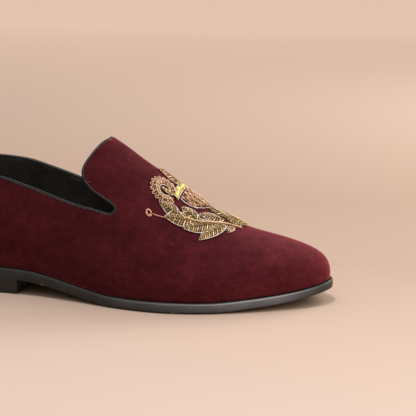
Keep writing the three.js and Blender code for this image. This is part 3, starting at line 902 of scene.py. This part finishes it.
def sock_top(x, up):
    depth = np.interp(x, [0, 20, 90, 160, 220, 300], [0.2, 1, 0.8, 0.5, 0.9, 0.2])
    dish = SOCK_DISH * np.sin(np.pi * up) ** 0.8 * depth
    return seat_height(x) + GAP + INSOLE_THICKNESS - dish


sock = join(
    shaped_grid("sock", SOLE_COLUMNS // 2, len(SOCK_EDGE) - 1, sock_place),
    ladder("sock_top", SOCK_INSET + SOCK_EDGE[-1][1], sock_top, SOLE_COLUMNS // 2),
    ladder("sock_under", SOCK_INSET + SOCK_EDGE[0][1], lambda x, up: seat_height(x) + GAP, SOLE_COLUMNS // 2),
)
close_up(sock)
finish_piece(sock, lining_leather, "sock_leather", "insole")

# %% [markdown]
# ## Embroidery
# The ornament on the vamp is goldwork: coils of fine metal wire, cut to length and couched side
# by side over felt padding, with a twisted cord round each leaf. It is drawn flat, with u down
# the ridge to the toe and v round the side, and a map then lays every wire on the vamp.

# %% A map of the vamp
CREST_AT = 176
CREST_SLOPE = 0.84
CREST_PAD = 1.3
CREST_EDGE = 0.5
CREST_LIFT = 0.05
MAP_STEP = 0.5
map_u = np.arange(-24, 92, MAP_STEP)
map_v = np.arange(-62, 62.1, MAP_STEP)


def make_map():
    """Places on the vamp for each u and v of the map, and the way out of the surface there."""
    half = np.linspace(0, 0.5, 4001)
    turn = np.interp(CREST_AT + map_u * CREST_SLOPE, plan_point(half)[:, 0], half)
    heights = np.linspace(1, 0, 400)
    places = np.empty((len(map_u), len(map_v), 3))
    for side in (1, -1):
        chosen = map_v >= 0 if side > 0 else map_v < 0
        for i, t in enumerate(turn):
            wall = last_point(t if side > 0 else 1 - t, heights)
            walked = np.concatenate([[0], np.cumsum(np.linalg.norm(np.diff(wall, axis=0), axis=1))])
            for k in range(3):
                places[i, chosen, k] = np.interp(np.abs(map_v[chosen]), walked, wall[:, k])
    out = np.cross(np.gradient(places, axis=0), np.gradient(places, axis=1))
    out = unit(out + np.array([0, 0, 1e-9]))
    return places, out * np.sign(out[len(map_u) // 2, len(map_v) // 2, 2])


map_places, map_out = make_map()


def on_vamp(u, v, lift):
    """Places in mm, and the way out, at a lift over the vamp."""
    i = np.clip((np.asarray(u) - map_u[0]) / MAP_STEP, 0, len(map_u) - 1.001)
    j = np.clip((np.asarray(v) - map_v[0]) / MAP_STEP, 0, len(map_v) - 1.001)
    a, b = i.astype(int), j.astype(int)
    p, q = (i - a)[..., None], (j - b)[..., None]

    def read(values):
        near = values[a, b] * (1 - q) + values[a, b + 1] * q
        far = values[a + 1, b] * (1 - q) + values[a + 1, b + 1] * q
        return near * (1 - p) + far * p

    out = unit(read(map_out))
    return read(map_places) + out * np.asarray(lift)[..., None], out


print("vamp mapped,", map_places.shape, "points")

# %% [markdown]
# A wire is a thin tube along a few points. All wires of one kind have the same number of points,
# so they are made together as arrays. Each wire keeps its own colour, a little brighter or duller
# than the next, in a colour attribute that the thread's material reads.

# %% Tubes from arrays
WIRE_SIDES = 6
random.seed(7)
work = {"points": [], "faces": [], "colours": [], "along": [], "count": 0}


def add_tubes(rings, colours, along, closed=False):
    """Adds tubes: rings has a ring of points for each step of each tube, in mm."""
    count, steps, sides = rings.shape[:3]
    index = work["count"] + np.arange(count * steps * sides).reshape(count, steps, sides)
    here, after = (index, np.roll(index, -1, 1)) if closed else (index[:, :-1], index[:, 1:])
    quads = np.stack([here, np.roll(here, -1, 2), np.roll(after, -1, 2), after], -1)
    work["faces"].extend(quads.reshape(-1, 4).tolist())
    if not closed:
        work["faces"].extend(index[:, 0, ::-1].tolist())
        work["faces"].extend(index[:, -1].tolist())
    work["points"].append(rings.reshape(-1, 3))
    work["colours"].append(np.repeat(colours, steps * sides, axis=0))
    work["along"].append(np.repeat(along.ravel(), sides))
    work["count"] += count * steps * sides


def lay_wires(u, v, lift, radius, colour, spread=0.3, closed=False):
    """Adds wires: u, v and lift are arrays with a row for each wire, in mm."""
    places, out = on_vamp(u, v, lift)
    count, steps = places.shape[:2]
    if closed:
        way = unit(np.roll(places, -1, 1) - np.roll(places, 1, 1))
    else:
        way = unit(np.gradient(places, axis=1))
    side = unit(np.cross(way, out))
    up = np.cross(side, way)
    girth = np.full((count, steps), radius, float)
    if not closed:
        girth[:, [0, -1]] *= 0.45
    angle = np.arange(WIRE_SIDES) * 2 * np.pi / WIRE_SIDES
    ring = side[:, :, None] * np.cos(angle)[:, None] + up[:, :, None] * np.sin(angle)[:, None]
    shade = np.array([1 + random.uniform(-spread, spread) for _ in range(count)])
    tones = np.clip(np.asarray(colour)[None] * shade[:, None], 0, 1)
    stride = np.linalg.norm(np.diff(places, axis=1), axis=2)
    along = np.concatenate([np.zeros((count, 1)), np.cumsum(stride, 1)], 1)
    add_tubes(places[:, :, None] + ring * girth[:, :, None, None], tones, along, closed)


GOLD = (0.50, 0.330, 0.150)
BRIGHT = (0.82, 0.62, 0.35)
DARK_GOLD = (0.060, 0.034, 0.015)
SILVER = (0.92, 0.83, 0.79)
COPPER = (0.58, 0.31, 0.20)
PALE_COPPER = (0.78, 0.50, 0.36)
YELLOW = (0.70, 0.58, 0.16)
FELT = (0.045, 0.026, 0.013)
FILL_RADIUS = 0.5
print("wires ready")

# %% [markdown]
# A twisted cord is two thin strands that wind round each other. It is laid along a path in u and
# v: the two strands swing from side to side and up and down by their own radius. Pads are cut
# from felt: each follows the vamp below and is domed above, and shows only between the wires.

# %% Twisted cord and felt pad
CORD_TWIST = 2.4
CORD_STEP = 0.5
PAD_LANES = 6


def lay_cord(u, v, lift, radius, colour, twist=CORD_TWIST):
    """Two strands round a path, at one lift or at a lift for each point."""
    u, v = np.asarray(u, float), np.asarray(v, float)
    length = np.concatenate([[0], np.cumsum(np.hypot(np.diff(u), np.diff(v)))])
    walked = np.linspace(0, length[-1], max(int(length[-1] / CORD_STEP), 6))
    path_u, path_v = np.interp(walked, length, u), np.interp(walked, length, v)
    height = np.interp(walked, length, np.broadcast_to(lift, u.shape))
    across = unit(np.stack([-np.gradient(path_v), np.gradient(path_u)], -1) + 1e-9)
    swing = radius * 0.5
    for start in (0, np.pi):
        angle = walked * 2 * np.pi / twist + start
        strand_u = path_u + across[:, 0] * np.cos(angle) * swing
        strand_v = path_v + across[:, 1] * np.cos(angle) * swing
        strand = height + radius + np.sin(angle) * swing
        lay_wires(strand_u[None], strand_v[None], strand[None], radius * 0.62, colour, 0.06)


def pad_height(side):
    return CREST_LIFT + CREST_EDGE + (CREST_PAD - CREST_EDGE) * (1 - np.asarray(side, float) ** 2)


def lay_pad(spot, steps):
    """A felt pad under the wires: spot(share, side) gives its flat places."""
    side = np.linspace(-1, 1, PAD_LANES + 1)
    share, lane = np.meshgrid(np.linspace(0, 1, steps), side, indexing="ij")
    u, v = spot(share, lane * 0.96)
    under = on_vamp(u, v, np.full(u.shape, -0.2))[0]
    over = on_vamp(u, v, pad_height(lane) - 0.15)[0]
    rings = np.concatenate([under, over[:, ::-1]], 1)[None]
    half_way = steps // 2
    turning = np.cross(rings[0, half_way, 1] - rings[0, half_way, 0], over[half_way, 0] - under[half_way, 0])
    if turning @ (rings[0, -1].mean(0) - rings[0, 0].mean(0)) > 0:
        rings = rings[:, :, ::-1]
    add_tubes(rings, np.array([FELT]), np.zeros((1, steps)))


# %% [markdown]
# ### Leaves
# Each leaf is a padded almond. Wires slant from its rib to its rim like the barbs of a feather,
# bright and dull by turns. A pale cord runs round the rim and a gold one along the rib.

# %% Leaf
LEAF_BLUNT = 0.35
LEAF_BASE = 0.85
FILL_PITCH = 1.1
FILL_POINTS = 5
BARB_SLANT = 0.7
RIM_RADIUS = 0.4
RIB_RADIUS = 0.3
LEAF_FILL = (GOLD, DARK_GOLD, BRIGHT, DARK_GOLD)


def leaf_half(share, width):
    return LEAF_BLUNT + (width / 2 - LEAF_BLUNT) * np.sin(np.pi * np.clip(share, 0, 1) ** LEAF_BASE)


def lay_leaf(u, v, turn, length, width, mirror=1, fill=LEAF_FILL, rim=SILVER, rib=True):
    """One leaf from its base at u, v: the turn is 0 towards the heel and 90 down the side."""
    angle = math.radians(turn)
    way_u, way_v = -math.cos(angle), math.sin(angle)

    def spot(share, side):
        half = leaf_half(share, width - 2 * RIM_RADIUS) * side
        return u + way_u * length * share - way_v * half, mirror * (v + way_v * length * share + way_u * half)

    lay_pad(spot, 12)
    count = int(length / FILL_PITCH)
    start = (np.arange(count) + 0.5) / count
    q = np.linspace(0.04, 1, FILL_POINTS)
    for side in (1, -1):
        share = start[:, None] + q * leaf_half(start, width)[:, None] * BARB_SLANT / length
        flat_u, flat_v = spot(np.minimum(share, 0.985), side * q)
        lift = np.broadcast_to(pad_height(q) + FILL_RADIUS * 0.3, flat_u.shape)
        for k, colour in enumerate(fill):
            every = slice(k, None, len(fill))
            lay_wires(flat_u[every], flat_v[every], lift[every], FILL_RADIUS, colour)
    edge = np.linspace(0, 1, 40)
    rim_u, rim_v = spot(np.concatenate([edge, edge[::-1]]), np.repeat([1.0, -1.0], 40))
    lay_cord(rim_u, rim_v, CREST_LIFT + 0.45, RIM_RADIUS, rim)
    if rib:
        rib_u, rib_v = spot(edge * 0.94, 0)
        lay_cord(rib_u, rib_v, pad_height(0) + FILL_RADIUS * 0.5, RIB_RADIUS, GOLD)


SPRAY_LEAVES = [  # u, v, turn, length, width
    (25.5, 32.5, 3, 19, 12), (41, 26.6, -8, 17.7, 13), (36.3, 29.4, 28, 26, 12), (52, 19.6, 43.5, 30.8, 13),
    (61, 13.2, 59.5, 33, 10.2), (56.5, 8.0, 31, 21.5, 10.2), (66.5, 10.8, 76, 11, 6),
]
TAIL_LEAVES = [(53, 0, 180, 21, 8.5), (57, 2.5, 170, 14, 5), (57, -2.5, -170, 14, 5), (56, 0, 0, 18, 10.5)]
for mirror in (1, -1):
    for leaf in SPRAY_LEAVES:
        lay_leaf(*leaf, mirror=mirror)
for leaf in TAIL_LEAVES:
    lay_leaf(*leaf, fill=(DARK_GOLD, GOLD, DARK_GOLD, BRIGHT), rim=GOLD)
print("leaves:", 2 * len(SPRAY_LEAVES) + len(TAIL_LEAVES))

# %% [markdown]
# ### Stems, stalks and beads
# The stem of each spray is a thicker cord, and a thin copper cord leads to a coiled bead.

# %% Stems and beads
SPRAY_STEM = [(73, 7.5), (62, 12), (51, 19.5), (38, 28), (26, 32.5)]
STALK = [(19, 38.5), (11, 43), (3, 45.4)]
BEAD = (0, 46)
BEAD_RADIUS = 2.7


def smooth_path(points, steps=60):
    """A soft curve through a few given points."""
    rows = np.array(points, float)
    rows = np.vstack([2 * rows[0] - rows[1], rows, 2 * rows[-1] - rows[-2]])
    spot = np.linspace(0, len(points) - 1.0001, steps)
    i = spot.astype(int)
    t = (spot - i)[:, None]
    a, b, c, d = (rows[i + k] for k in range(4))
    return (0.5 * (2 * b + (c - a) * t + (2 * a - 5 * b + 4 * c - d) * t**2 + (3 * b - a - 3 * c + d) * t**3)).T


for mirror in (1, -1):
    stem_u, stem_v = smooth_path(SPRAY_STEM)
    rise = CREST_LIFT + 0.3 + 1.2 * np.sin(np.linspace(0, np.pi, 60)) ** 0.7
    lay_cord(stem_u, mirror * stem_v, rise, 0.7, BRIGHT, 3.0)
    stalk_u, stalk_v = smooth_path(STALK)
    lay_cord(stalk_u, mirror * stalk_v, CREST_LIFT, 0.42, PALE_COPPER)
    coil = np.linspace(0, 1, 90)
    angle = coil * 2 * np.pi * 2.6
    radius = BEAD_RADIUS * (1 - 0.42 * coil)
    lay_wires(
        (BEAD[0] + np.cos(angle) * radius)[None], (mirror * (BEAD[1] + np.sin(angle) * radius))[None],
        (CREST_LIFT + 0.4 + coil * 0.5)[None], 0.36, COPPER,
    )
print("stems and beads laid")

# %% [markdown]
# ### Coronet
# Two round lobes and a taller leaf between them stand on a bright band. Each lobe is a horseshoe
# of short coils with little loops round its rim, and it is open in the middle, where a bud of
# gold stands on the velvet.

# %% Coronet
LOBE = {"u": 7.6, "v": 19.8, "radius": 7.8, "half": 3.0, "spread": 310}
LOBE_WIRES = 60
LOOPS = 12
LOOP_RADIUS = 1.15
CENTRE_LOBE = (17, 0, 0, 21, 10.5)
BUD = (14, 19.5, 0, 9.5, 3.8)
BAND = {"u": 16.5, "half": 20.5, "width": 5}
half_spread = math.radians(LOBE["spread"] / 2)
round_ring = np.linspace(0, 2 * np.pi, 16, endpoint=False)


def lobe_spot(mirror):
    def spot(share, side):
        angle = (np.asarray(share) * 2 - 1) * half_spread
        radius = LOBE["radius"] + LOBE["half"] * side
        return LOBE["u"] - np.cos(angle) * radius, mirror * (LOBE["v"] + np.sin(angle) * radius)

    return spot


for mirror in (1, -1):
    spot = lobe_spot(mirror)
    lay_pad(spot, 30)
    share = np.linspace(0.01, 0.99, LOBE_WIRES)[:, None]
    across = np.linspace(-0.92, 0.92, 5)
    flat_u, flat_v = spot(share + across * 0.012, np.broadcast_to(across, (LOBE_WIRES, 5)))
    heights = np.broadcast_to(pad_height(across) + 0.15, flat_u.shape)
    for k, colour in enumerate((COPPER, DARK_GOLD, PALE_COPPER, GOLD, DARK_GOLD)):
        lay_wires(flat_u[k::5], flat_v[k::5], heights[k::5], FILL_RADIUS, colour)
    line = np.linspace(0, 1, 60)
    lay_cord(*spot(line, -1), CREST_LIFT + 0.3, RIM_RADIUS, SILVER)
    lay_cord(*spot(line, 0.15), pad_height(0) + 0.35, 0.4, PALE_COPPER)
    lay_cord(*spot(line, 0.95), CREST_LIFT + 0.3, 0.42, PALE_COPPER)
    loop_u, loop_v = spot(np.linspace(0.16, 0.84, LOOPS), 1.22)
    for size, colour in ((LOOP_RADIUS, PALE_COPPER), (LOOP_RADIUS * 0.3, DARK_GOLD)):
        flat_u = loop_u[:, None] + np.cos(round_ring) * size
        flat_v = loop_v[:, None] + np.sin(round_ring) * size
        lay_wires(flat_u, flat_v, np.full(flat_u.shape, CREST_LIFT + 0.45), 0.42, colour, closed=True)
    lay_leaf(*BUD, mirror=mirror, fill=(BRIGHT, GOLD), rim=BRIGHT, rib=False)
lay_leaf(*CENTRE_LOBE, fill=(COPPER, DARK_GOLD, PALE_COPPER), rim=PALE_COPPER)
print("coronet laid")

# %% [markdown]
# ### Band and shield
# The band is a close row of bright coils. The shield below it is basket work: little squares of
# three wires each, which lie across and along by turns. A gold leaf meets its lower end.

# %% Band
band_v = np.arange(-BAND["half"] + 0.5, BAND["half"], 1.04)
side = np.linspace(-1, 1, 6)
band_u = BAND["u"] + np.broadcast_to(side * (BAND["width"] / 2 - 0.3), (len(band_v), 6))
band_lift = np.broadcast_to(pad_height(side) + 0.5, band_u.shape)
for k, colour in enumerate((YELLOW, YELLOW, BRIGHT)):
    lay_wires(band_u[k::3], (band_v[:, None] + side * 0.45)[k::3], band_lift[k::3], 0.56, colour)
for shift in (-1, 1):
    edge_v = np.linspace(-BAND["half"], BAND["half"], 40)
    lay_cord(np.full(40, BAND["u"] + shift * BAND["width"] / 2), edge_v, CREST_LIFT + 0.4, 0.42, SILVER)
print("band laid")

# %% Shield
SHIELD = [(20.2, 16.5), (24, 17.4), (29, 16.8), (34, 14.0), (38, 8.6), (41.5, 0.5)]  # u, half width
CELL = 3.3
shield_u, shield_half = np.array(SHIELD).T


def shield_spot(share, side):
    u = shield_u[0] + (shield_u[-1] - shield_u[0]) * np.asarray(share)
    return u, np.interp(u, shield_u, shield_half) * side


lay_pad(shield_spot, 20)
lines = {"along": [], "across": []}
for row in range(int((shield_u[-1] - shield_u[0]) / CELL)):
    middle_u = shield_u[0] + (row + 0.5) * CELL
    reach = np.interp(middle_u, shield_u, shield_half) - 0.8
    cells = max(int(round(2 * reach / CELL)), 1)
    for cell in range(cells):
        middle_v = -reach + (cell + 0.5) * 2 * reach / cells
        kind = "along" if (row + cell) % 2 else "across"
        for shift in (-1.05, 0, 1.05):
            step = np.linspace(-0.5, 0.5, 5) * CELL * 1.02
            still = np.full(5, shift)
            wire = (step, still) if kind == "along" else (still, step)
            lines[kind].append((middle_u + wire[0], middle_v + wire[1]))
for kind, tones in (("along", (COPPER, PALE_COPPER)), ("across", (COPPER, DARK_GOLD, GOLD))):
    flat_u, flat_v = np.array(lines[kind]).transpose(1, 0, 2)
    reach = np.interp(flat_u, shield_u, shield_half)
    heights = pad_height(np.clip(flat_v / reach, -1, 1)) + 0.15 + 0.25 * np.cos(np.linspace(-1.4, 1.4, 5))
    for k, colour in enumerate(tones):
        every = slice(k, None, len(tones))
        lay_wires(flat_u[every], flat_v[every], heights[every], FILL_RADIUS, colour)
edge = np.linspace(0, 1, 60)
for scale, tone, lift in ((1.0, SILVER, CREST_LIFT + 0.2), (0.55, BRIGHT, pad_height(0.5) + 0.5)):
    rim_u, rim_v = shield_spot(np.concatenate([edge, edge[::-1]]) * (0.35 + 0.65 * scale) + 0.1 * (1 - scale),
                               np.repeat([scale, -scale], 60))
    lay_cord(rim_u, rim_v, lift, 0.42, tone)
print("shield laid")

# %% [markdown]
# The thread's material is metal. Its colour comes from the wires' own attribute, and a fine wave
# along each wire gives the tight coils of the real purl.

# %% Metal thread
thread, nodes, links, shader = new_finish("metal_thread", Metallic=0.8, Roughness=0.34)
tone = nodes.new("ShaderNodeAttribute")
tone.attribute_name = "thread_colour"
glint = ramp(nodes, links, noise(nodes, links, 1100, 2.0, 0.6), (0.35, (0.45,) * 3), (0.62, (1.15,) * 3))
links.new(
    blend_colours(nodes, links, "MULTIPLY", 1.0, tone.outputs["Color"], glint), shader.inputs["Base Color"]
)
wind = nodes.new("ShaderNodeAttribute")
wind.attribute_name = "wire_length"
turns_per_mm = nodes.new("ShaderNodeMath")
turns_per_mm.operation = "MULTIPLY"
turns_per_mm.inputs[1].default_value = 2 * math.pi / 0.42
coil_wave = nodes.new("ShaderNodeMath")
coil_wave.operation = "SINE"
links.new(wind.outputs["Fac"], turns_per_mm.inputs[0])
links.new(turns_per_mm.outputs[0], coil_wave.inputs[0])
bump(nodes, links, shader, coil_wave.outputs[0], 0.06, 0.6)

embroidery = piece_from("embroidery_threads", (np.vstack(work["points"]) + SHIFT) * MM, work["faces"])
colours = embroidery.data.color_attributes.new("thread_colour", "FLOAT_COLOR", "POINT")
shades = np.vstack(work["colours"])
colours.data.foreach_set("color", np.column_stack([shades, np.ones(len(shades))]).ravel())
lengths = embroidery.data.attributes.new("wire_length", "FLOAT", "POINT")
lengths.data.foreach_set("value", np.concatenate(work["along"]))
EMBROIDERY_NODES = [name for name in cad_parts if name.startswith("embroidery")]
finish_piece(embroidery, thread, "gold_thread", *EMBROIDERY_NODES)

# %% [markdown]
# ## Floor, light and camera
# The shoe stands on a pale floor that runs on to the horizon. Most of the light is a soft sky,
# warm and dim at the horizon and bright overhead. A weak, wide sun from the front and the heel
# side gives the shadow a direction, a warm lamp stands beyond the toe, and another behind it skims the velvet.
# The camera stands a metre away, a little above the shoe and round towards the toe.

# %% Floor
FLOOR_SIZE = 16
paper, nodes, links, shader = new_finish("floor_paper", Roughness=0.85, Specular_IOR_Level=0.2)
reach = nodes.new("ShaderNodeSeparateXYZ")
links.new(nodes.new("ShaderNodeTexCoord").outputs["Object"], reach.inputs["Vector"])
span = nodes.new("ShaderNodeMapRange")
for socket, value in (("From Min", -0.3), ("From Max", 2.7), ("To Min", 0.0), ("To Max", 1.0)):
    span.inputs[socket].default_value = value
links.new(reach.outputs["Y"], span.inputs["Value"])
# Painted shadow and falloff of light along the depth: a darker band just behind the shoe, paler in front and far
# off.
paper_with_painted_shadow = ramp(
    nodes, links, span.outputs["Result"],
    (0.02, (0.592, 0.472, 0.410)), (0.07, (0.550, 0.424, 0.354)), (0.14, (0.440, 0.325, 0.260)),
    (0.22, (0.402, 0.290, 0.227)), (0.40, (0.472, 0.349, 0.281)), (0.90, (0.715, 0.525, 0.421)),
)
fibres = ramp(nodes, links, noise(nodes, links, 420, 4.0, 0.6), (0.3, (0.985,) * 3), (0.7, (1.015,) * 3))
links.new(blend_colours(nodes, links, "MULTIPLY", 1.0, paper_with_painted_shadow, fibres), shader.inputs["Base Color"])
bpy.ops.mesh.primitive_plane_add(size=FLOOR_SIZE, location=(0, 0, -0.0002))
floor = bpy.context.object
floor.name = "floor"
floor.data.materials.append(paper)

# %% Light
world = bpy.data.worlds.new("soft_room")
bpy.context.scene.world = world
world.use_nodes = True
nodes, links = world.node_tree.nodes, world.node_tree.links
height = nodes.new("ShaderNodeSeparateXYZ")
links.new(nodes.new("ShaderNodeTexCoord").outputs["Generated"], height.inputs["Vector"])
room = ramp(
    nodes, links, height.outputs["Z"],
    (0.0, (0.25, 0.132, 0.062)), (0.25, (0.27, 0.195, 0.143)),
    (0.6, (0.62, 0.595, 0.565)), (1.0, (1.0, 0.975, 0.945)),
)
links.new(room, nodes["Background"].inputs["Color"])
nodes["Background"].inputs["Strength"].default_value = 1.05


def softbox(name, place, aim, size, power, colour=(1, 0.96, 0.92)):
    """A square area light that looks at a point."""
    bpy.ops.object.light_add(type="AREA", location=place)
    lamp = bpy.context.object
    lamp.name = name
    lamp.data.size = size
    lamp.data.energy = power
    lamp.data.color = colour
    lamp.rotation_euler = (Vector(aim) - Vector(place)).to_track_quat("-Z", "Y").to_euler()
    return lamp


SUN_WAY = (0.12, 0.10, -0.98)
bpy.ops.object.light_add(type="SUN", location=(-0.3, 0.3, 1.0))
sun = bpy.context.object
sun.name = "key"
sun.rotation_euler = Vector(SUN_WAY).to_track_quat("-Z", "Y").to_euler()
sun.data.energy = 1.2
sun.data.angle = math.radians(10)
sun.data.color = (1, 0.97, 0.94)
softbox("toe_side", (1.1, -0.2, 0.5), (0.12, 0, 0.04), 0.7, 5, (1, 0.76, 0.58))
softbox("back_rim", (0.8, 1.0, 0.8), (0.1, 0, 0.05), 0.7, 12)

# %% Camera
CAMERA_AZIMUTH = 14.21
CAMERA_ELEVATION = 12.0
CAMERA_DISTANCE = 1.0
CAMERA_LENS = 118.05
CAMERA_TARGET = Vector((np.array([211.0, 0, 65.24]) + SHIFT) * MM)
azimuth, elevation = math.radians(CAMERA_AZIMUTH), math.radians(CAMERA_ELEVATION)
back = Vector((
    math.sin(azimuth) * math.cos(elevation),
    -math.cos(azimuth) * math.cos(elevation),
    math.sin(elevation),
))
bpy.ops.object.camera_add(location=CAMERA_TARGET + back * CAMERA_DISTANCE)
camera = bpy.context.object
camera.rotation_euler = (-back).to_track_quat("-Z", "Y").to_euler()
camera.data.lens = CAMERA_LENS
camera.data.sensor_width = 36
bpy.context.scene.camera = camera
bpy.context.scene.view_settings.view_transform = "Standard"
print("camera at", tuple(round(c, 3) for c in camera.location))
